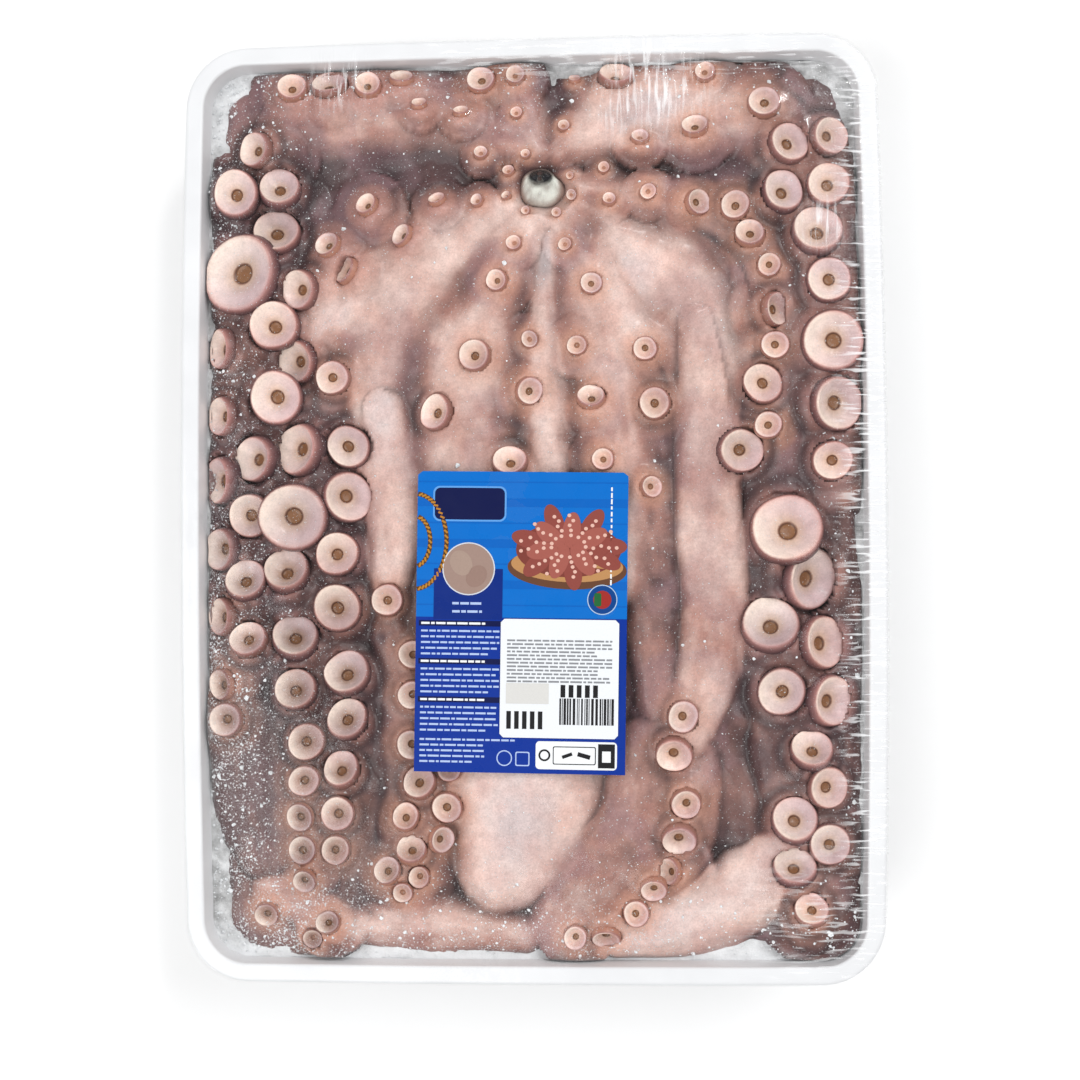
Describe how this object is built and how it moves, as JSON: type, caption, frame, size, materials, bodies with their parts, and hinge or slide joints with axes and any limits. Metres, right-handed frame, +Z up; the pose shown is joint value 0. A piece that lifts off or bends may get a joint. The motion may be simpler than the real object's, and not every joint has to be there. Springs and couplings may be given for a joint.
{
  "type": "whole octopus",
  "caption": "Whole frozen octopus pressed into a shallow rectangular white tray, suckers up, under clear wrapping film with a printed label.",
  "frame": {"origin": "middle of the footprint, on the surface that the pack stands on", "axes": "+Y along the tray's length, towards the end where the mouth is, +Z up, +X towards the side with the right-hand arms as seen from above"},
  "size_m": [0.2996, 0.3998, 0.0657],
  "materials": {
    "tray_plastic": "satin white plastic, slightly translucent",
    "ice": "frosty grey ice",
    "octopus_skin": "wet pinkish brown skin with pale suckers",
    "beak": "dark horn",
    "clear_film": "clear glossy film",
    "label_print": "glossy printed paper",
    "sticker_paper": "white paper"
  },
  "bodies": {
    "root": {"tray": "tray_plastic", "ice": "ice", "octopus": "octopus_skin", "beak": "beak", "film": "clear_film", "label": "label_print", "weight_sticker": "sticker_paper"}
  },
  "joints": []
}
